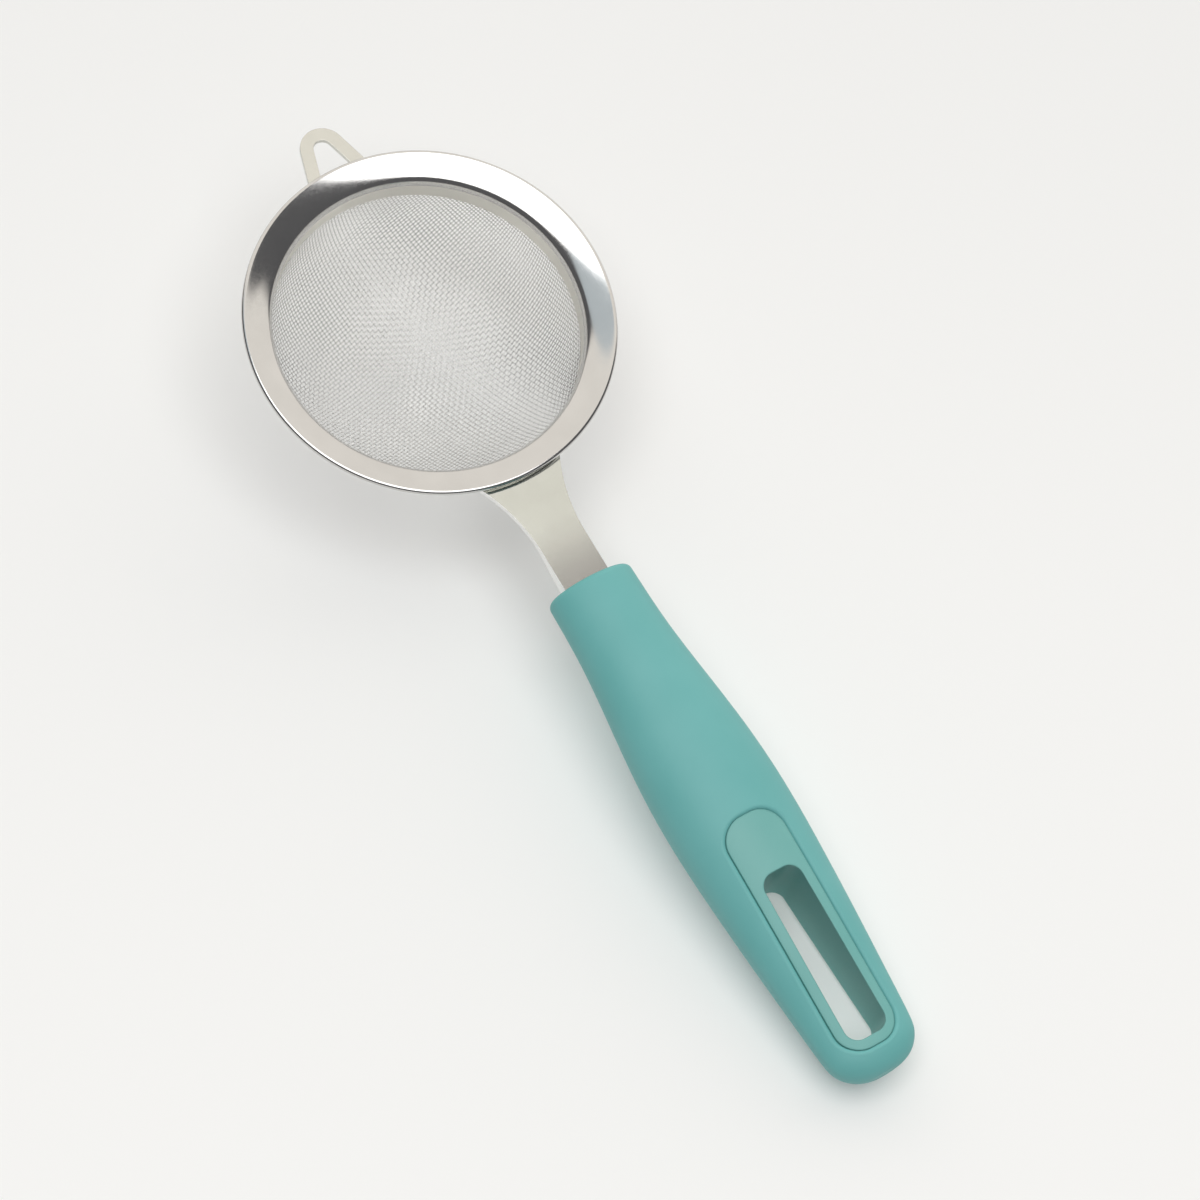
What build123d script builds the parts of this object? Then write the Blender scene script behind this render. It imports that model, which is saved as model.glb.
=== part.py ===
from build123d import *
import math
import os

# Tea strainer lying on a table, in millimetres: +Z up, the table is z = 0, the handle runs toward +X.
# The origin lies on the table, straight under the centre of the rim.

# Pose on the table: the handle side drops by this angle, and the bowl's bottom touches the table.
PITCH = 7.0
RIM_HEIGHT = 33.08

# Rim flange: one pressed sheet ring with an open outer hem and a collar that reaches into the mesh
RIM_RADIUS = 40.0
FLANGE_SHEET = 0.45
DISH_INNER_SLOPE = 28.0
DISH_OUTER_SLOPE = 16.0
HEM_RADIUS = 0.45
HEM_LENGTH = 1.6
COLLAR_INNER_RADIUS = 33.25
COLLAR_TURN_RADIUS = 1.975
COLLAR_TOP_DEPTH = 3.2
COLLAR_BOTTOM_DEPTH = 7.52

# Clamp ring: a plain sheet band that presses the mesh against the outside of the collar
CLAMP_SHEET = 0.4
CLAMP_RADIUS = 34.44
CLAMP_TOP_DEPTH = 3.9
CLAMP_BOTTOM_DEPTH = 7.3

# Woven mesh bowl, as a plain closed shell a little thicker than its crossed wires
MESH_THICKNESS = 0.5
MESH_RADIUS = 33.96
MESH_TOP_DEPTH = 3.6
BOWL_TURN_DEPTH = 7.5
BOWL_DEPTH = 32.76
SHOULDER_RADIUS = 20.0

# Strap level shared by the neck and the rest hook: both pass under the hem and bend down to the clamp ring
STRAP_DEPTH = 1.6
STRAP_BEND_RADIUS = 2.0
CLAMP_OUTER_RADIUS = CLAMP_RADIUS + CLAMP_SHEET / 2
TAB_BOTTOM_DEPTH = 7.3
TAB_END_RADIUS = 38.0

# Rest hook
HOOK_SHEET = 1.0
HOOK_TIP_CENTRE = -45.8
HOOK_TIP_RADIUS = 5.0
HOOK_BAND = 2.9
HOOK_FLARE = 16.5
HOOK_ROOT = 30.0

# Neck and tang
NECK_SHEET = 1.4
NECK_WAIST = 10.6
NECK_FLARE_RADIUS = 40.0
NECK_FLARE_ANGLE = 36.0
NECK_WAIST_START = 56.0
TANG_END = 130.0
TANG_HOLE_DIAMETER = 5.0
TANG_HOLES = (84.0, 100.0, 116.0)
LIP_START = 53.0
LIP_END = 74.0
LIP_DROP = 2.3

# Plug welds through the bent tabs
WELD_DIAMETER = 2.0
WELD_PROUD = 0.25
WELD_DEPTH = 5.6
WELD_HOLE_REACH = 4.0
NECK_WELD_ANGLES = (-10.0, 0.0, 10.0)
HOOK_WELD_ANGLES = (168.0, 192.0)

# Handle sections: distance from the rim centre, half width, rise and fall from the widest line
HANDLE_FRONT = 66.0
WIDEST_LINE_DEPTH = 2.6
HANDLE_SECTIONS = (
    (HANDLE_FRONT, 9.75, 6.6, 7.4),
    (80.0, 10.15, 7.5, 9.0),
    (95.0, 11.65, 8.4, 10.9),
    (108.0, 13.05, 9.0, 12.2),
    (121.0, 13.65, 9.0, 12.7),
    (139.0, 13.1, 8.1, 12.3),
    (157.0, 11.95, 6.6, 11.0),
    (169.0, 11.05, 5.5, 10.0),
    (176.2, 10.45, 5.0, 9.28),
)

# The rear end rounds off over this length, while width, rise and fall each shrink by their own amount
END_LENGTH = 8.0
END_WIDTH_LOSS = 8.4
END_RISE_LOSS = 4.0
END_FALL_LOSS = 6.4
END_ANGLES = (22.0, 42.0, 58.0, 72.0, 82.0)
HANDLE_FRONT_EDGE = 1.5
SKIN = 1.1
CORE_FRONT = 67.8

# Hanging slot, and the window in the soft skin around it
SLOT_START = 138.8
SLOT_END = 176.6
SLOT_START_WIDTH = 9.0
SLOT_END_WIDTH = 9.5
SLOT_CORNER = 3.0
WINDOW_START = 125.8
WINDOW_END = 178.8
WINDOW_WIDTH = 13.6
WINDOW_CORNER = 5.6
WINDOW_EDGE = 0.8

# Raised panel of the core that fills the window, with a fine gap all round
PANEL_DEPTH = 0.45
PANEL_GAP = 0.0
CUT_REACH = 40.0

rim_centre = Vector(0, 0, RIM_HEIGHT)
pitch = math.radians(PITCH)
handle_direction = Vector(math.cos(pitch), 0, -math.sin(pitch))
rim_normal = Vector(math.sin(pitch), 0, math.cos(pitch))
rim_plane = Plane(rim_centre, x_dir=handle_direction, z_dir=rim_normal)
radial_plane = Plane(rim_centre, x_dir=handle_direction, z_dir=(0, -1, 0))
rim_axis = Axis(rim_centre, rim_normal)


def station_plane(distance, depth):
    """Plane across the handle: local x is the width, local y points away from the table."""
    origin = rim_plane.from_local_coords(Vector(distance, 0, -depth))
    return Plane(origin, x_dir=(0, 1, 0), z_dir=handle_direction)


def tapered_outline(start, end, start_width, end_width, corner):
    """Closed outline with rounded corners along the handle."""
    with BuildSketch() as outline:
        with BuildLine():
            Polyline(
                (start, -start_width / 2),
                (end, -end_width / 2),
                (end, end_width / 2),
                (start, start_width / 2),
                close=True,
            )
        make_face()
        fillet(outline.vertices(), radius=corner)
    return outline.sketch


def window_outline(inset):
    """Outline of the window in the grip, or one that lies inset inside it."""
    return tapered_outline(
        WINDOW_START + inset,
        WINDOW_END - inset,
        WINDOW_WIDTH - 2 * inset,
        WINDOW_WIDTH - 2 * inset,
        WINDOW_CORNER - inset,
    )


def handle_section(half_width, rise, fall):
    """Egg-shaped section: half an ellipse above the widest line and half of a deeper one below."""
    with BuildSketch() as section:
        with BuildLine():
            EllipticalCenterArc((0, 0), half_width, rise, arc_size=180)
            EllipticalCenterArc((0, 0), half_width, fall, arc_size=-180)
        make_face()
    return section.sketch


def handle_stations(inset):
    """Stations of the handle's outer surface, or of the surface that lies inset below it."""
    stations = list(HANDLE_SECTIONS)
    end_start, end_width, end_rise, end_fall = HANDLE_SECTIONS[-1]
    for angle in END_ANGLES:
        shrink = 1 - math.cos(math.radians(angle))
        stations.append(
            (
                end_start + (END_LENGTH - inset) * math.sin(math.radians(angle)),
                end_width - END_WIDTH_LOSS * shrink,
                end_rise - END_RISE_LOSS * shrink,
                end_fall - END_FALL_LOSS * shrink,
            )
        )
    return [(x, width - inset, rise - inset, fall - inset) for x, width, rise, fall in stations]


def strap_profile(sheet):
    """Radial profile of a strap that runs under the hem and bends down along the clamp ring."""
    bend_radius = STRAP_BEND_RADIUS - sheet / 2
    tab_radius = CLAMP_OUTER_RADIUS + sheet / 2
    with BuildSketch() as profile:
        with BuildLine():
            tab = Line(
                (tab_radius, -TAB_BOTTOM_DEPTH),
                (tab_radius, -STRAP_DEPTH - STRAP_BEND_RADIUS),
            )
            bend = JernArc(tab @ 1, tab % 1, bend_radius, -90)
            Line(bend @ 1, (TAB_END_RADIUS, -STRAP_DEPTH - sheet / 2))
        trace(line_width=sheet)
    return profile.sketch


def weld_plane(angle):
    """Plane on the clamp ring's outer face, facing away from the bowl's axis."""
    turn = math.radians(angle)
    direction = rim_plane.from_local_coords(Vector(math.cos(turn), math.sin(turn), 0)) - rim_centre
    origin = rim_plane.from_local_coords(
        Vector(
            CLAMP_OUTER_RADIUS * math.cos(turn),
            CLAMP_OUTER_RADIUS * math.sin(turn),
            -WELD_DEPTH,
        )
    )
    return Plane(origin, x_dir=rim_normal, z_dir=direction)


# Rim flange: collar, tight turn, gently domed dish and open hem, each tangent to the next
inner_slope = math.radians(DISH_INNER_SLOPE)
outer_slope = math.radians(DISH_OUTER_SLOPE)
collar_centre = COLLAR_INNER_RADIUS + FLANGE_SHEET / 2
hem_centre = RIM_RADIUS - HEM_RADIUS - FLANGE_SHEET / 2
dish_radius = hem_centre - collar_centre - COLLAR_TURN_RADIUS
dish_radius += COLLAR_TURN_RADIUS * math.sin(inner_slope) - HEM_RADIUS * math.sin(outer_slope)
dish_radius /= math.sin(inner_slope) - math.sin(outer_slope)
with BuildPart() as rim_flange:
    with BuildSketch(radial_plane):
        with BuildLine():
            collar = Line((collar_centre, -COLLAR_BOTTOM_DEPTH), (collar_centre, -COLLAR_TOP_DEPTH))
            turn = JernArc(collar @ 1, collar % 1, COLLAR_TURN_RADIUS, DISH_INNER_SLOPE - 90)
            dish = JernArc(turn @ 1, turn % 1, dish_radius, DISH_OUTER_SLOPE - DISH_INNER_SLOPE)
            hem = JernArc(dish @ 1, dish % 1, HEM_RADIUS, -180)
            PolarLine(hem @ 1, HEM_LENGTH, direction=hem % 1)
        trace(line_width=FLANGE_SHEET)
    revolve(axis=rim_axis)
rim_flange.part.label = "rim_flange"

# Clamp ring
with BuildPart() as clamp_ring:
    with BuildSketch(radial_plane):
        with BuildLine():
            Line((CLAMP_RADIUS, -CLAMP_BOTTOM_DEPTH), (CLAMP_RADIUS, -CLAMP_TOP_DEPTH))
        trace(line_width=CLAMP_SHEET)
    revolve(axis=rim_axis)
clamp_ring.part.label = "clamp_ring"

# Mesh bowl: a cylindrical skirt, a rounded shoulder and a ball-shaped floor, tangent to each other
bowl_fall = BOWL_DEPTH - BOWL_TURN_DEPTH
shoulder_inset = MESH_RADIUS - SHOULDER_RADIUS
floor_radius = shoulder_inset**2 + bowl_fall**2 - SHOULDER_RADIUS**2
floor_radius /= 2 * (bowl_fall - SHOULDER_RADIUS)
shoulder_angle = math.degrees(math.atan2(floor_radius - bowl_fall, shoulder_inset))
with BuildPart() as upright_bowl:
    with BuildSketch(Plane.XZ):
        with BuildLine():
            skirt = Line((MESH_RADIUS, -MESH_TOP_DEPTH), (MESH_RADIUS, -BOWL_TURN_DEPTH))
            shoulder = JernArc(skirt @ 1, skirt % 1, SHOULDER_RADIUS, -shoulder_angle)
            JernArc(shoulder @ 1, shoulder % 1, floor_radius, shoulder_angle - 90)
        trace(line_width=MESH_THICKNESS)
    revolve(axis=Axis.Z)
with BuildPart() as mesh_bowl:
    with Locations(rim_plane.location):
        add(upright_bowl.part)
mesh_bowl.part.label = "mesh_bowl"

# Rest hook
flare = math.radians(HOOK_FLARE)
hook_inner_radius = HOOK_TIP_RADIUS - HOOK_BAND
hook_leg_run = (-HOOK_TIP_CENTRE - HOOK_ROOT) / math.cos(flare)


def hook_outline(radius):
    """Rounded tip of this radius with two legs that flare toward the bowl."""
    tip_x = HOOK_TIP_CENTRE - radius * math.sin(flare)
    tip_y = radius * math.cos(flare)
    root_x = tip_x + hook_leg_run * math.cos(flare)
    root_y = tip_y + hook_leg_run * math.sin(flare)
    with BuildSketch() as outline:
        with BuildLine():
            ThreePointArc((tip_x, tip_y), (HOOK_TIP_CENTRE - radius, 0), (tip_x, -tip_y))
            Polyline((tip_x, -tip_y), (root_x, -root_y), (root_x, root_y), (tip_x, tip_y))
        make_face()
    return outline.sketch


with BuildSketch() as hook_plan:
    add(hook_outline(HOOK_TIP_RADIUS))
    add(hook_outline(hook_inner_radius), mode=Mode.SUBTRACT)

with BuildPart() as rest_hook:
    with BuildSketch(radial_plane):
        add(strap_profile(HOOK_SHEET))
    revolve(axis=rim_axis)
    with BuildSketch(rim_plane.offset(-TAB_BOTTOM_DEPTH)):
        add(hook_plan.sketch)
    extrude(amount=TAB_BOTTOM_DEPTH, mode=Mode.INTERSECT)
    with BuildSketch(rim_plane.offset(-STRAP_DEPTH - HOOK_SHEET)):
        add(hook_plan.sketch)
        Circle(TAB_END_RADIUS, mode=Mode.SUBTRACT)
    extrude(amount=HOOK_SHEET)
    for angle in HOOK_WELD_ANGLES:
        with BuildSketch(weld_plane(angle)):
            Circle(WELD_DIAMETER / 2)
        extrude(amount=WELD_HOLE_REACH, mode=Mode.SUBTRACT)
rest_hook.part.label = "rest_hook"

# Neck and tang
with BuildSketch() as neck_plan:
    with BuildLine():
        tang_side = Line((TANG_END, NECK_WAIST / 2), (NECK_WAIST_START, NECK_WAIST / 2))
        neck_side = JernArc(tang_side @ 1, tang_side % 1, NECK_FLARE_RADIUS, -NECK_FLARE_ANGLE)
        Polyline(neck_side @ 1, ((neck_side @ 1).X, 0), (TANG_END, 0), tang_side @ 0)
    make_face()
    mirror(about=Plane.XZ)

with BuildPart() as neck_tang:
    with BuildSketch(radial_plane):
        add(strap_profile(NECK_SHEET))
    revolve(axis=rim_axis)
    with BuildSketch(rim_plane.offset(-TAB_BOTTOM_DEPTH)):
        add(neck_plan.sketch)
    extrude(amount=TAB_BOTTOM_DEPTH, mode=Mode.INTERSECT)
    with BuildSketch(rim_plane.offset(-STRAP_DEPTH - NECK_SHEET)):
        add(neck_plan.sketch)
        Circle(TAB_END_RADIUS, mode=Mode.SUBTRACT)
        for hole_distance in TANG_HOLES:
            with Locations((hole_distance, 0)):
                Circle(TANG_HOLE_DIAMETER / 2, mode=Mode.SUBTRACT)
    extrude(amount=NECK_SHEET)
    for angle in NECK_WELD_ANGLES:
        with BuildSketch(weld_plane(angle)):
            Circle(WELD_DIAMETER / 2)
        extrude(amount=WELD_HOLE_REACH, mode=Mode.SUBTRACT)

with BuildPart() as neck_lips:
    with BuildSketch(radial_plane):
        with BuildLine():
            Polyline(
                (LIP_START, -STRAP_DEPTH - NECK_SHEET),
                (HANDLE_FRONT, -STRAP_DEPTH - NECK_SHEET - LIP_DROP),
                (LIP_END, -STRAP_DEPTH - NECK_SHEET - LIP_DROP),
                (LIP_END, -STRAP_DEPTH - NECK_SHEET),
                close=True,
            )
        make_face()
    extrude(amount=NECK_WAIST, both=True)
    with BuildSketch(rim_plane.offset(-CUT_REACH)):
        add(neck_plan.sketch)
        offset(neck_plan.sketch, amount=-NECK_SHEET, mode=Mode.SUBTRACT)
    extrude(amount=CUT_REACH, mode=Mode.INTERSECT)

with BuildPart() as neck_with_lips:
    add(neck_tang.part)
    add(neck_lips.part)
neck_with_lips.part.label = "neck_tang"

# Plug welds
with BuildPart() as spot_welds:
    for angle in HOOK_WELD_ANGLES:
        with BuildSketch(weld_plane(angle)):
            Circle(WELD_DIAMETER / 2)
        extrude(amount=HOOK_SHEET + WELD_PROUD)
    for angle in NECK_WELD_ANGLES:
        with BuildSketch(weld_plane(angle)):
            Circle(WELD_DIAMETER / 2)
        extrude(amount=NECK_SHEET + WELD_PROUD)
spot_welds.part.label = "spot_welds"

# Handle core: hard plastic moulded round the tang, with a raised panel and the hanging slot right through it
with BuildPart() as core_blank:
    for distance, half_width, rise, fall in handle_stations(SKIN):
        with BuildSketch(station_plane(distance, WIDEST_LINE_DEPTH)):
            add(handle_section(half_width, rise, fall))
    loft()
    split(bisect_by=station_plane(CORE_FRONT, 0), keep=Keep.TOP)

with BuildPart() as panel:
    for distance, half_width, rise, fall in handle_stations(PANEL_DEPTH):
        with BuildSketch(station_plane(distance, WIDEST_LINE_DEPTH)):
            add(handle_section(half_width, rise, fall))
    loft()
    with BuildSketch(rim_plane.offset(-CUT_REACH)):
        add(window_outline(PANEL_GAP))
    extrude(amount=2 * CUT_REACH, mode=Mode.INTERSECT)

with BuildPart() as handle_core:
    add(core_blank.part)
    add(panel.part)
    with BuildSketch(rim_plane.offset(-CUT_REACH)):
        add(tapered_outline(SLOT_START, SLOT_END, SLOT_START_WIDTH, SLOT_END_WIDTH, SLOT_CORNER))
    extrude(amount=2 * CUT_REACH, mode=Mode.SUBTRACT)
    add(neck_with_lips.part, mode=Mode.SUBTRACT)
handle_core.part.label = "handle_core"

# Handle grip: soft skin over the core, open over the window round the slot
with BuildPart() as handle_grip:
    for distance, half_width, rise, fall in handle_stations(0):
        with BuildSketch(station_plane(distance, WIDEST_LINE_DEPTH)):
            add(handle_section(half_width, rise, fall))
    loft()
    front_face = faces().sort_by(Axis(rim_centre, handle_direction))[0]
    fillet(front_face.edges(), radius=HANDLE_FRONT_EDGE)
    with BuildSketch(rim_plane.offset(-CUT_REACH)):
        add(window_outline(0))
    extrude(amount=2 * CUT_REACH, mode=Mode.SUBTRACT)
    window_edges = edges(Select.LAST).filter_by(GeomType.LINE, reverse=True)
    fillet(window_edges, radius=WINDOW_EDGE)
    add(core_blank.part, mode=Mode.SUBTRACT)
    add(neck_with_lips.part, mode=Mode.SUBTRACT)
handle_grip.part.label = "handle_grip"

os.makedirs("parts", exist_ok=True)
export_step(rim_flange.part, "parts/rim_flange.step")
export_step(clamp_ring.part, "parts/clamp_ring.step")
export_step(mesh_bowl.part, "parts/mesh_bowl.step")
export_step(rest_hook.part, "parts/rest_hook.step")
export_step(neck_with_lips.part, "parts/neck_tang.step")
export_step(spot_welds.part, "parts/spot_welds.step")
export_step(handle_core.part, "parts/handle_core.step")
export_step(handle_grip.part, "parts/handle_grip.step")
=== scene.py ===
import math

import bpy
import numpy as np
from mathutils import Matrix, Vector


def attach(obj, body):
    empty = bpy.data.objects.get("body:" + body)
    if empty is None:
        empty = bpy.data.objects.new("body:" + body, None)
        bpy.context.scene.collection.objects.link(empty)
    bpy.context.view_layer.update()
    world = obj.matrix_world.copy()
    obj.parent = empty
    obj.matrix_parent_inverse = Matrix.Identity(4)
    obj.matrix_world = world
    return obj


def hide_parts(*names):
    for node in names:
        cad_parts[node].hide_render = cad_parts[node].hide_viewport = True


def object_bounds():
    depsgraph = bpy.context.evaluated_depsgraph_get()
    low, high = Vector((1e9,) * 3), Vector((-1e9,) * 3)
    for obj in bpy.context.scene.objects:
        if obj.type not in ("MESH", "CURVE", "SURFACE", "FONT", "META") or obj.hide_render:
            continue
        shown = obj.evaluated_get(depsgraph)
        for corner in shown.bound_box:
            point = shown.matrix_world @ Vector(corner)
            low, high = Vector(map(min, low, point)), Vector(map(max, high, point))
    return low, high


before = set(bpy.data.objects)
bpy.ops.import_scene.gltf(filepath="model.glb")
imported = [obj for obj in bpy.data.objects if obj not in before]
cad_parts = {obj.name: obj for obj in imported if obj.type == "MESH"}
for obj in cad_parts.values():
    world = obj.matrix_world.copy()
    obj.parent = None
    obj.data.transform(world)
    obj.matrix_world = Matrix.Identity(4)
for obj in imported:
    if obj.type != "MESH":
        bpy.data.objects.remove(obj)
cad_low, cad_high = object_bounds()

# Tea strainer lying on a table. Lengths are named in millimetres and become metres where they
# are used. Sizes of the studio and its light are in metres.
MM = 0.001

# Rim frame: x runs along the handle, z along the rim's normal, and the origin is the rim's centre.
PITCH = math.radians(7.0)
RIM_HEIGHT = 33.08

# Rim flange, a pressed sheet ring: hem, dish, turned edge and collar
FLANGE_SHEET = 0.45
DISH_INNER_SLOPE = math.radians(28.0)
DISH_OUTER_SLOPE = math.radians(16.0)
HEM_RADIUS = 0.45
HEM_LENGTH = 1.6
COLLAR_RADIUS = 33.475
COLLAR_TURN_RADIUS = 1.975
COLLAR_TOP_DEPTH = 3.2
COLLAR_BOTTOM_DEPTH = 7.52

# Clamp ring
CLAMP_SHEET = 0.4
CLAMP_RADIUS = 34.44
CLAMP_TOP_DEPTH = 3.9
CLAMP_BOTTOM_DEPTH = 7.3

# Mesh bowl: skirt, shoulder and ball-shaped floor, measured on the middle of the cloth
MESH_RADIUS = 33.96
MESH_TOP_DEPTH = 3.6
BOWL_TURN_DEPTH = 7.5
BOWL_DEPTH = 32.76
SHOULDER_RADIUS = 20.0
WARP_PITCH = 1.03
WEFT_PITCH = 0.80
WIRE_DIAMETER = 0.15
WIRE_STEPS = 3
WEAVE_TURN = math.radians(16.0)

# Finish: where the flange's polish turns satin, where painted shade darkens the neck, and the
# painted highlight on the neck's upright sides
SATIN_FADE = 0.2
SATIN_ROUGHNESS = 0.34
SATIN_COLOUR = (0.80, 0.785, 0.73)
# Painted shade: the neck's tint darkens along it toward the handle
NECK_PAINTED_SHADE_START = 48.0
NECK_PAINTED_SHADE_END = 66.0
NECK_PAINTED_SHADE_COLOUR = (0.33, 0.325, 0.31)
# Painted highlight: colour and gloss for the neck's upright sides, paler than its face
SIDE_ROUGHNESS = 0.6
SIDE_PAINTED_HIGHLIGHT_COLOUR = (0.97, 0.965, 0.95)

# A surface counts as level when its normal's height is above LEVEL, as upright below UPRIGHT
LEVEL = 0.7
UPRIGHT = 0.4

# Noise patterns: usual range of their value, octaves, and clouds per millimetre
NOISE_LOW = 0.3
NOISE_HIGH = 0.7
CLOUD_DETAIL = 3.0
GRAIN_DETAIL = 2.0
STEEL_CLOUDS = 0.12
PLASTIC_CLOUDS = 0.08
BEVEL_SAMPLES = 6

# Floor; its faint glow is painted light that lightens the shadows on it
FLOOR_SIZE = 6.0
FLOOR_COLOUR = (0.765, 0.765, 0.755)
FLOOR_PAINTED_GLOW_COLOUR = (1.0, 1.0, 0.99)
FLOOR_PAINTED_GLOW = 0.16
FLOOR_ROUGHNESS = 0.9
FLOOR_SPECULAR = 0.1

# Studio: colours of its dim walls, its pale far wall, a dark gap, a small cool panel, and the
# backdrop; angles in degrees
ROOM_COLOUR = (0.13, 0.13, 0.135)
WALL_COLOUR = (1.06, 1.02, 0.96)
PANEL_COLOUR = (0.66, 0.73, 0.77)
BACKDROP_COLOUR = (0.88, 0.88, 0.87)
WALL_FULL, WALL_NONE = 54, 61
PATCH_FULL, PATCH_NONE = 13, 17
WALL_AZIMUTH, WALL_ELEVATION = 144, 22
GAP_AZIMUTH, GAP_ELEVATION = 64, 48
PANEL_AZIMUTH, PANEL_ELEVATION = -142, 62

# Oval soft box over the table
LIGHT_PLACE = Vector((0.377, -0.173, 1.5))
LIGHT_SIZE = (1.764, 1.47)
LIGHT_TURN = 38.7
LIGHT_RADIANCE = 2.5

# Camera, looking down on the part from beside the handle
TARGET = Vector((66.695, 3.025, 15.0)) * MM
CAMERA_AZIMUTH = math.radians(46.44)
CAMERA_ELEVATION = math.radians(61.72)
CAMERA_ROLL = math.radians(13.22)
CAMERA_DISTANCE = 830.7 * MM
LENS = 119.15
SENSOR_WIDTH = 36.0

RING_SEGMENTS = 288
ARC_STEP = math.radians(6.0)
ARC_STEPS_LEAST = 8
SHARP_ANGLE = math.radians(35)

RIM_RADIUS = (cad_high.y - cad_low.y) / 2 / MM
rim_matrix = Matrix.Translation((0, 0, RIM_HEIGHT * MM)) @ Matrix.Rotation(PITCH, 4, "Y")


# Shapes


def arc_points(centre, radius, start, end):
    """Points on an arc in the plane of distance from the axis and height, ends included."""
    count = max(ARC_STEPS_LEAST, round(abs(end - start) / ARC_STEP))
    angles = np.linspace(start, end, count + 1)
    return [(centre[0] + radius * math.cos(a), centre[1] + radius * math.sin(a)) for a in angles]


def sheet_section(path, sheet):
    """Closed section of a sheet of this thickness whose middle follows the path."""
    path = np.array(path)
    along = np.gradient(path, axis=0)
    along /= np.linalg.norm(along, axis=1)[:, None]
    side = np.stack((-along[:, 1], along[:, 0]), axis=1) * sheet / 2
    return np.concatenate((path + side, (path - side)[::-1]))


def finish_mesh(name, vertices, faces):
    """Mesh object in metres from points in the rim frame, smooth except at sharp edges."""
    mesh = bpy.data.meshes.new(name)
    mesh.from_pydata([(rim_matrix @ (Vector(v) * MM))[:] for v in vertices], [], faces)
    mesh.validate()
    mesh.shade_smooth()
    mesh.set_sharp_from_angle(angle=SHARP_ANGLE)
    piece = bpy.data.objects.new(name, mesh)
    bpy.context.scene.collection.objects.link(piece)
    return piece


def turned_ring(name, section):
    """Closed section of distance and height turned round the rim's axis."""
    count = len(section)
    vertices = []
    for step in range(RING_SEGMENTS):
        turn = 2 * math.pi * step / RING_SEGMENTS
        vertices += [(r * math.cos(turn), r * math.sin(turn), z) for r, z in section]
    faces = []
    for step in range(RING_SEGMENTS):
        here = step * count
        there = (step + 1) % RING_SEGMENTS * count
        for k in range(count):
            n = (k + 1) % count
            faces.append((here + k, there + k, there + n, here + n))
    return finish_mesh(name, vertices, faces)


def add_piece(piece, slot, material, *nodes):
    """Puts a piece on the body, gives it its finish and hides the CAD nodes it stands for."""
    piece.data.materials.append(material)
    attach(piece, "root")
    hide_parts(*nodes)


# Materials


def new_material(name):
    """Material with a Principled shader, and the object coordinates that its patterns use."""
    material = bpy.data.materials.new(name)
    material.use_nodes = True
    tree = material.node_tree
    shader = tree.nodes["Principled BSDF"]
    place = tree.nodes.new("ShaderNodeTexCoord").outputs["Object"]
    return material, tree, shader, place


def noise(tree, place, scale, detail, stretch=(1, 1, 1), turn=0.0):
    """Noise per millimetre in object coordinates, drawn out along axes by stretch."""
    mapping = tree.nodes.new("ShaderNodeMapping")
    mapping.vector_type = "TEXTURE"
    mapping.inputs["Rotation"].default_value = (0, turn, 0)
    mapping.inputs["Scale"].default_value = [s * MM / scale for s in stretch]
    texture = tree.nodes.new("ShaderNodeTexNoise")
    texture.inputs["Scale"].default_value = 1.0
    texture.inputs["Detail"].default_value = detail
    tree.links.new(place, mapping.inputs["Vector"])
    tree.links.new(mapping.outputs["Vector"], texture.inputs["Vector"])
    return texture.outputs["Fac"]


def spread(tree, value, low, high):
    """A noise pattern's value stretched to the range low to high."""
    node = tree.nodes.new("ShaderNodeMapRange")
    node.inputs["From Min"].default_value = NOISE_LOW
    node.inputs["From Max"].default_value = NOISE_HIGH
    node.inputs["To Min"].default_value = low
    node.inputs["To Max"].default_value = high
    tree.links.new(value, node.inputs["Value"])
    return node.outputs["Result"]


def tint(tree, value, dark, light):
    """Colour between dark and light by a pattern."""
    ramp = tree.nodes.new("ShaderNodeValToRGB")
    ramp.color_ramp.elements[0].position = NOISE_LOW
    ramp.color_ramp.elements[0].color = (*dark, 1)
    ramp.color_ramp.elements[1].position = NOISE_HIGH
    ramp.color_ramp.elements[1].color = (*light, 1)
    tree.links.new(value, ramp.inputs["Fac"])
    return ramp.outputs["Color"]


def bump(tree, shader, value, height, edge=0.0):
    """Raises the surface by a pattern, height in millimetres; edge rounds sharp corners."""
    node = tree.nodes.new("ShaderNodeBump")
    node.inputs["Distance"].default_value = height * MM
    tree.links.new(value, node.inputs["Height"])
    if edge:
        rounding = tree.nodes.new("ShaderNodeBevel")
        rounding.samples = BEVEL_SAMPLES
        rounding.inputs["Radius"].default_value = edge * MM
        tree.links.new(rounding.outputs["Normal"], node.inputs["Normal"])
    tree.links.new(node.outputs["Normal"], shader.inputs["Normal"])


def steel(name, dark, light, smooth, rough, stretch, grain_scale, grain_height, edge=0.0):
    """Stainless steel: cloudy tint, brushed grain drawn out along stretch, uneven gloss."""
    material, tree, shader, place = new_material(name)
    shader.inputs["Metallic"].default_value = 1.0
    clouds = noise(tree, place, STEEL_CLOUDS, CLOUD_DETAIL)
    grain = noise(tree, place, grain_scale, GRAIN_DETAIL, stretch, PITCH)
    tree.links.new(tint(tree, clouds, dark, light), shader.inputs["Base Color"])
    tree.links.new(spread(tree, grain, smooth, rough), shader.inputs["Roughness"])
    bump(tree, shader, grain, grain_height, edge)
    return material


def tree_parts(material):
    """Node tree, shader and object coordinates of a material made here."""
    tree = material.node_tree
    place = tree.nodes["Texture Coordinate"].outputs["Object"]
    return tree, tree.nodes["Principled BSDF"], place


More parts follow.
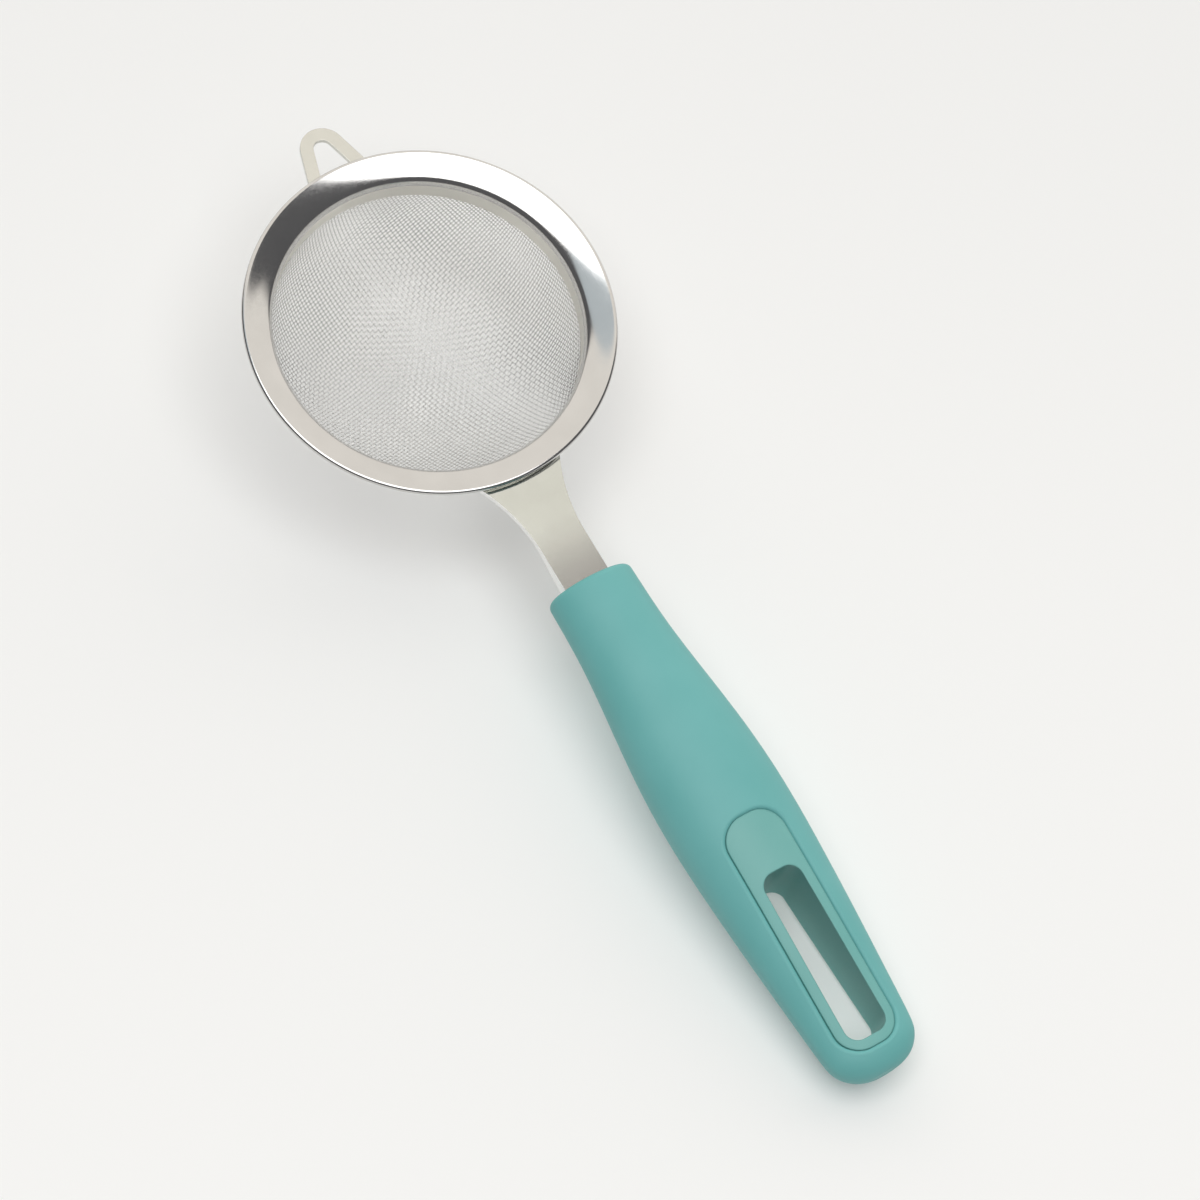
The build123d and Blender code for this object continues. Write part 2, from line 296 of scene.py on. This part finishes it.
def lay_over(tree, shader, cover, colour, rough=0.0):
    """Where cover is 1, gives a surface this colour and a gloss at least this rough."""
    dull = tree.nodes.new("ShaderNodeMath")
    dull.operation = "MULTIPLY"
    dull.inputs[1].default_value = rough
    larger = tree.nodes.new("ShaderNodeMath")
    larger.operation = "MAXIMUM"
    mix = tree.nodes.new("ShaderNodeMixRGB")
    mix.inputs["Color2"].default_value = (*colour, 1)
    tree.links.new(cover, dull.inputs[0])
    tree.links.new(dull.outputs["Value"], larger.inputs[0])
    tree.links.new(shader.inputs["Roughness"].links[0].from_socket, larger.inputs[1])
    tree.links.new(larger.outputs["Value"], shader.inputs["Roughness"])
    tree.links.new(cover, mix.inputs["Fac"])
    tree.links.new(shader.inputs["Base Color"].links[0].from_socket, mix.inputs["Color1"])
    tree.links.new(mix.outputs["Color"], shader.inputs["Base Color"])


def satin_below(material, depth, rough, colour):
    """Makes a surface satin and of this colour below a depth under the rim's plane."""
    tree, shader, place = tree_parts(material)
    mapping = tree.nodes.new("ShaderNodeMapping")
    mapping.vector_type = "TEXTURE"
    mapping.inputs["Location"].default_value = (0, 0, RIM_HEIGHT * MM)
    mapping.inputs["Rotation"].default_value = (0, PITCH, 0)
    parts = tree.nodes.new("ShaderNodeSeparateXYZ")
    fade = tree.nodes.new("ShaderNodeMapRange")
    fade.inputs["From Min"].default_value = -depth * MM
    fade.inputs["From Max"].default_value = (-depth - SATIN_FADE) * MM
    tree.links.new(place, mapping.inputs["Vector"])
    tree.links.new(mapping.outputs["Vector"], parts.inputs["Vector"])
    tree.links.new(parts.outputs["Z"], fade.inputs["Value"])
    lay_over(tree, shader, fade.outputs["Result"], colour, rough)


def fade_along(material, start, end, colour):
    """Lets the tint change along X from start to this colour at end, both in millimetres."""
    tree, shader, place = tree_parts(material)
    parts = tree.nodes.new("ShaderNodeSeparateXYZ")
    run = tree.nodes.new("ShaderNodeMapRange")
    run.interpolation_type = "SMOOTHSTEP"
    run.inputs["From Min"].default_value = start * MM
    run.inputs["From Max"].default_value = end * MM
    tree.links.new(place, parts.inputs["Vector"])
    tree.links.new(parts.outputs["X"], run.inputs["Value"])
    lay_over(tree, shader, run.outputs["Result"], colour)


def paint_side_highlight(material, rough, colour):
    """Paints a highlight on the upright sides of a level sheet: gives them this colour and gloss.
    """
    tree, shader, _ = tree_parts(material)
    geometry = tree.nodes.new("ShaderNodeNewGeometry")
    parts = tree.nodes.new("ShaderNodeSeparateXYZ")
    level = tree.nodes.new("ShaderNodeMath")
    level.operation = "ABSOLUTE"
    fade = tree.nodes.new("ShaderNodeMapRange")
    fade.inputs["From Min"].default_value = LEVEL
    fade.inputs["From Max"].default_value = UPRIGHT
    tree.links.new(geometry.outputs["True Normal"], parts.inputs["Vector"])
    tree.links.new(parts.outputs["Z"], level.inputs[0])
    tree.links.new(level.outputs["Value"], fade.inputs["Value"])
    lay_over(tree, shader, fade.outputs["Result"], colour, rough)


def plastic(name, dark, light, smooth, rough, grain_scale, grain_height, edge=0.0):
    """Moulded plastic or rubber with a fine all-over grain and faint clouds of colour."""
    material, tree, shader, place = new_material(name)
    clouds = noise(tree, place, PLASTIC_CLOUDS, CLOUD_DETAIL)
    grain = noise(tree, place, grain_scale, GRAIN_DETAIL)
    tree.links.new(tint(tree, clouds, dark, light), shader.inputs["Base Color"])
    tree.links.new(spread(tree, grain, smooth, rough), shader.inputs["Roughness"])
    bump(tree, shader, grain, grain_height, edge)
    return material


polished_steel = steel(
    "polished_steel",
    dark=(0.60, 0.59, 0.575),
    light=(0.64, 0.63, 0.615),
    smooth=0.10,
    rough=0.15,
    stretch=(1, 1, 1),
    grain_scale=1.5,
    grain_height=0.0001,
)
satin_below(polished_steel, COLLAR_TOP_DEPTH, SATIN_ROUGHNESS, SATIN_COLOUR)
satin_steel = steel(
    "satin_steel",
    dark=(0.50, 0.485, 0.465),
    light=(0.54, 0.525, 0.505),
    smooth=0.22,
    rough=0.34,
    stretch=(1, 1, 6),
    grain_scale=4.0,
    grain_height=0.002,
)
strip_steel = steel(
    "strip_steel",
    dark=(0.63, 0.625, 0.575),
    light=(0.67, 0.665, 0.615),
    smooth=0.16,
    rough=0.24,
    stretch=(14, 1, 1),
    grain_scale=8.0,
    grain_height=0.0006,
    edge=0.18,
)
neck_steel = steel(
    "neck_steel",
    dark=(0.56, 0.57, 0.525),
    light=(0.60, 0.61, 0.565),
    smooth=0.11,
    rough=0.17,
    stretch=(14, 1, 1),
    grain_scale=8.0,
    grain_height=0.0006,
    edge=0.1,
)
# Painted shade darkening the neck toward the handle
fade_along(neck_steel, NECK_PAINTED_SHADE_START, NECK_PAINTED_SHADE_END, NECK_PAINTED_SHADE_COLOUR)
# Painted highlight on the neck's upright sides
paint_side_highlight(neck_steel, SIDE_ROUGHNESS, SIDE_PAINTED_HIGHLIGHT_COLOUR)
wire_steel = steel(
    "wire_steel",
    dark=(0.60, 0.595, 0.58),
    light=(0.68, 0.675, 0.66),
    smooth=0.1,
    rough=0.18,
    stretch=(1, 1, 1),
    grain_scale=2.0,
    grain_height=0.001,
)
weld_metal = steel(
    "weld_metal",
    dark=(0.42, 0.40, 0.37),
    light=(0.54, 0.52, 0.49),
    smooth=0.3,
    rough=0.5,
    stretch=(1, 1, 1),
    grain_scale=3.0,
    grain_height=0.02,
    edge=0.2,
)
core_plastic = plastic(
    "core_plastic",
    dark=(0.16, 0.44, 0.41),
    light=(0.18, 0.46, 0.43),
    smooth=0.42,
    rough=0.52,
    grain_scale=6.0,
    grain_height=0.003,
    edge=0.5,
)
grip_rubber = plastic(
    "grip_rubber",
    dark=(0.141, 0.443, 0.43),
    light=(0.157, 0.465, 0.453),
    smooth=0.5,
    rough=0.6,
    grain_scale=9.0,
    grain_height=0.004,
    edge=0.3,
)


# Rim flange
turn_centre = (COLLAR_RADIUS + COLLAR_TURN_RADIUS, -COLLAR_TOP_DEPTH)
inner_angle = math.pi / 2 + DISH_INNER_SLOPE
outer_angle = math.pi / 2 + DISH_OUTER_SLOPE
dish_radius = RIM_RADIUS - HEM_RADIUS - FLANGE_SHEET / 2 - turn_centre[0]
dish_radius -= COLLAR_TURN_RADIUS * math.cos(inner_angle) - HEM_RADIUS * math.cos(outer_angle)
dish_radius /= math.cos(outer_angle) - math.cos(inner_angle)
dish_centre = (
    turn_centre[0] + (COLLAR_TURN_RADIUS - dish_radius) * math.cos(inner_angle),
    turn_centre[1] + (COLLAR_TURN_RADIUS - dish_radius) * math.sin(inner_angle),
)
hem_centre = (
    dish_centre[0] + (dish_radius - HEM_RADIUS) * math.cos(outer_angle),
    dish_centre[1] + (dish_radius - HEM_RADIUS) * math.sin(outer_angle),
)
flange_path = [(COLLAR_RADIUS, -COLLAR_BOTTOM_DEPTH)]
flange_path += arc_points(turn_centre, COLLAR_TURN_RADIUS, math.pi, inner_angle)
flange_path += arc_points(dish_centre, dish_radius, inner_angle, outer_angle)[1:]
flange_path += arc_points(hem_centre, HEM_RADIUS, outer_angle, outer_angle - math.pi)[1:]
hem_start = flange_path[-1]
flange_path.append(
    (
        hem_start[0] - HEM_LENGTH * math.cos(DISH_OUTER_SLOPE),
        hem_start[1] - HEM_LENGTH * math.sin(DISH_OUTER_SLOPE),
    )
)
rim = turned_ring("rim_flange_pressed", sheet_section(flange_path, FLANGE_SHEET))
add_piece(rim, "polished_steel", polished_steel, "rim_flange")

# Clamp ring
clamp_path = [(CLAMP_RADIUS, -CLAMP_TOP_DEPTH), (CLAMP_RADIUS, -CLAMP_BOTTOM_DEPTH)]
clamp = turned_ring("clamp_ring_band", sheet_section(clamp_path, CLAMP_SHEET))
add_piece(clamp, "satin_steel", satin_steel, "clamp_ring")


# Woven mesh bowl
bowl_fall = BOWL_DEPTH - BOWL_TURN_DEPTH
shoulder_inset = MESH_RADIUS - SHOULDER_RADIUS
floor_radius = (shoulder_inset**2 + bowl_fall**2 - SHOULDER_RADIUS**2) / (
    2 * (bowl_fall - SHOULDER_RADIUS)
)
floor_angle = math.pi / 2 - math.atan2(floor_radius - bowl_fall, shoulder_inset)
floor_arc = floor_radius * floor_angle
shoulder_arc = SHOULDER_RADIUS * (math.pi / 2 - floor_angle)
bowl_arc = floor_arc + shoulder_arc + BOWL_TURN_DEPTH - MESH_TOP_DEPTH


def bowl_section(arc):
    """Distance from the axis, height and outward slope angle at this arc from the bottom."""
    on_floor = np.minimum(arc, floor_arc) / floor_radius
    on_shoulder = np.clip(arc - floor_arc, 0, shoulder_arc) / SHOULDER_RADIUS
    lean = on_floor + on_shoulder
    skirt = np.maximum(arc - floor_arc - shoulder_arc, 0)
    ball = arc <= floor_arc
    distance = np.where(
        ball, floor_radius * np.sin(lean), shoulder_inset + SHOULDER_RADIUS * np.sin(lean)
    )
    height = np.where(
        ball,
        -BOWL_DEPTH + floor_radius * (1 - np.cos(lean)),
        -BOWL_TURN_DEPTH - SHOULDER_RADIUS * np.cos(lean) + skirt,
    )
    return distance, height, lean


def cloth_points(along, across, lift):
    """Points of the pressed cloth, raised by lift; along and across are those of flat cloth."""
    arc = np.hypot(along, across)
    turn = np.arctan2(across, along) + WEAVE_TURN
    distance, height, lean = bowl_section(arc)
    distance = distance - lift * np.sin(lean)
    height = height + lift * np.cos(lean)
    return np.stack((distance * np.cos(turn), distance * np.sin(turn), height), axis=1)


def wire_group(name, warp, numbers):
    """Wires of one direction as one piece: each weaves over and under the wires that cross it."""
    spacing, crossing = (WARP_PITCH, WEFT_PITCH) if warp else (WEFT_PITCH, WARP_PITCH)
    curve = bpy.data.curves.new(name, "CURVE")
    curve.dimensions = "3D"
    curve.bevel_depth = WIRE_DIAMETER / 2 * MM
    curve.bevel_resolution = 1
    curve.use_fill_caps = True
    for number in numbers:
        offset = number * spacing
        half_length = math.sqrt(bowl_arc**2 - offset**2)
        steps = int(half_length / crossing * WIRE_STEPS)
        run = np.arange(-steps, steps + 1) * crossing / WIRE_STEPS
        lift = WIRE_DIAMETER / 2 * np.cos(math.pi * (run / crossing + number))
        beside = np.full_like(run, offset)
        if warp:
            points = cloth_points(run, beside, lift)
        else:
            points = cloth_points(beside, run, -lift)
        spline = curve.splines.new("POLY")
        spline.points.add(len(points) - 1)
        world = [(*(rim_matrix @ (Vector(p) * MM)), 1.0) for p in points.tolist()]
        spline.points.foreach_set("co", [value for point in world for value in point])
    piece = bpy.data.objects.new(name, curve)
    bpy.context.scene.collection.objects.link(piece)
    add_piece(piece, "mesh_wire", wire_steel, "mesh_bowl")


last_warp = int(bowl_arc / WARP_PITCH)
last_weft = int(bowl_arc / WEFT_PITCH)
wire_group("mesh_warp_left", True, range(0, last_warp + 1))
wire_group("mesh_warp_right", True, range(-last_warp, 0))
wire_group("mesh_weft_front", False, range(0, last_weft + 1))
wire_group("mesh_weft_rear", False, range(-last_weft, 0))


# CAD nodes that keep their shape
for node, material in (
    ("rest_hook", strip_steel),
    ("neck_tang", neck_steel),
    ("spot_welds", weld_metal),
    ("handle_core", core_plastic),
    ("handle_grip", grip_rubber),
):
    for slot in bpy.data.objects[node].material_slots:
        slot.material = material


# Floor; its faint glow is painted light that lightens the shadows on it
floor_mesh = bpy.data.meshes.new("floor")
half = FLOOR_SIZE / 2
floor_mesh.from_pydata(
    [(-half, -half, 0), (half, -half, 0), (half, half, 0), (-half, half, 0)], [], [(0, 1, 2, 3)]
)
floor = bpy.data.objects.new("floor", floor_mesh)
bpy.context.scene.collection.objects.link(floor)
floor_material, _, floor_shader, _ = new_material("floor_paper")
floor_shader.inputs["Base Color"].default_value = (*FLOOR_COLOUR, 1)
floor_shader.inputs["Emission Color"].default_value = (*FLOOR_PAINTED_GLOW_COLOUR, 1)
floor_shader.inputs["Emission Strength"].default_value = FLOOR_PAINTED_GLOW
floor_shader.inputs["Roughness"].default_value = FLOOR_ROUGHNESS
floor_shader.inputs["Specular IOR Level"].default_value = FLOOR_SPECULAR
floor_mesh.materials.append(floor_material)


# Studio: dim walls with a pale far wall, a dark gap and a cool panel in them
world = bpy.data.worlds.new("studio")
bpy.context.scene.world = world
world.use_nodes = True
sky = world.node_tree
background = sky.nodes["Background"]
direction = sky.nodes.new("ShaderNodeTexCoord").outputs["Generated"]


def direction_of(azimuth, elevation):
    """Unit vector toward an azimuth counted from +X toward +Y and an elevation, in degrees."""
    a, e = math.radians(azimuth), math.radians(elevation)
    return Vector((math.cos(a) * math.cos(e), math.sin(a) * math.cos(e), math.sin(e)))


def sky_patch(colour, toward, full, none, light):
    """Lays light over colour within the angle full of toward, fading out at the angle none."""
    dot = sky.nodes.new("ShaderNodeVectorMath")
    dot.operation = "DOT_PRODUCT"
    dot.inputs[1].default_value = toward
    fade = sky.nodes.new("ShaderNodeMapRange")
    fade.interpolation_type = "SMOOTHSTEP"
    fade.inputs["From Min"].default_value = math.cos(math.radians(none))
    fade.inputs["From Max"].default_value = math.cos(math.radians(full))
    mix = sky.nodes.new("ShaderNodeMix")
    mix.data_type = "RGBA"
    mix.inputs["B"].default_value = (*light, 1)
    sky.links.new(direction, dot.inputs[0])
    sky.links.new(dot.outputs["Value"], fade.inputs["Value"])
    sky.links.new(fade.outputs["Result"], mix.inputs["Factor"])
    if isinstance(colour, tuple):
        mix.inputs["A"].default_value = (*colour, 1)
    else:
        sky.links.new(colour, mix.inputs["A"])
    return mix.outputs["Result"]


wall = direction_of(WALL_AZIMUTH, WALL_ELEVATION)
gap = direction_of(GAP_AZIMUTH, GAP_ELEVATION)
panel = direction_of(PANEL_AZIMUTH, PANEL_ELEVATION)
studio = sky_patch(ROOM_COLOUR, wall, WALL_FULL, WALL_NONE, WALL_COLOUR)
studio = sky_patch(studio, gap, PATCH_FULL, PATCH_NONE, ROOM_COLOUR)
studio = sky_patch(studio, panel, PATCH_FULL, PATCH_NONE, PANEL_COLOUR)
path = sky.nodes.new("ShaderNodeLightPath")
seen = sky.nodes.new("ShaderNodeMix")
seen.data_type = "RGBA"
seen.inputs["B"].default_value = (*BACKDROP_COLOUR, 1)
sky.links.new(path.outputs["Is Camera Ray"], seen.inputs["Factor"])
sky.links.new(studio, seen.inputs["A"])
sky.links.new(seen.outputs["Result"], background.inputs["Color"])

bpy.context.scene.view_settings.view_transform = "Standard"


def ceiling_light(name, place, size, turn, radiance):
    """Oval soft box that hangs level and shines straight down, in metres and degrees."""
    lamp = bpy.data.lights.new(name, "AREA")
    lamp.shape = "ELLIPSE"
    lamp.size, lamp.size_y = size
    lamp.energy = radiance * math.pi**2 / 4 * size[0] * size[1]
    box = bpy.data.objects.new(name, lamp)
    box.matrix_world = Matrix.Translation(place) @ Matrix.Rotation(math.radians(turn), 4, "Z")
    bpy.context.scene.collection.objects.link(box)


ceiling_light("top_light", LIGHT_PLACE, LIGHT_SIZE, LIGHT_TURN, LIGHT_RADIANCE)


# Camera
back = Vector(
    (
        math.sin(CAMERA_AZIMUTH) * math.cos(CAMERA_ELEVATION),
        -math.cos(CAMERA_AZIMUTH) * math.cos(CAMERA_ELEVATION),
        math.sin(CAMERA_ELEVATION),
    )
)
camera_data = bpy.data.cameras.new("camera")
camera_data.lens = LENS
camera_data.sensor_width = SENSOR_WIDTH
camera = bpy.data.objects.new("camera", camera_data)
upright = (-back).to_track_quat("-Z", "Y").to_matrix().to_4x4()
camera.matrix_world = (
    Matrix.Translation(TARGET + back * CAMERA_DISTANCE)
    @ upright
    @ Matrix.Rotation(CAMERA_ROLL, 4, "Z")
)
bpy.context.scene.collection.objects.link(camera)
bpy.context.scene.camera = camera

bpy.context.view_layer.update()
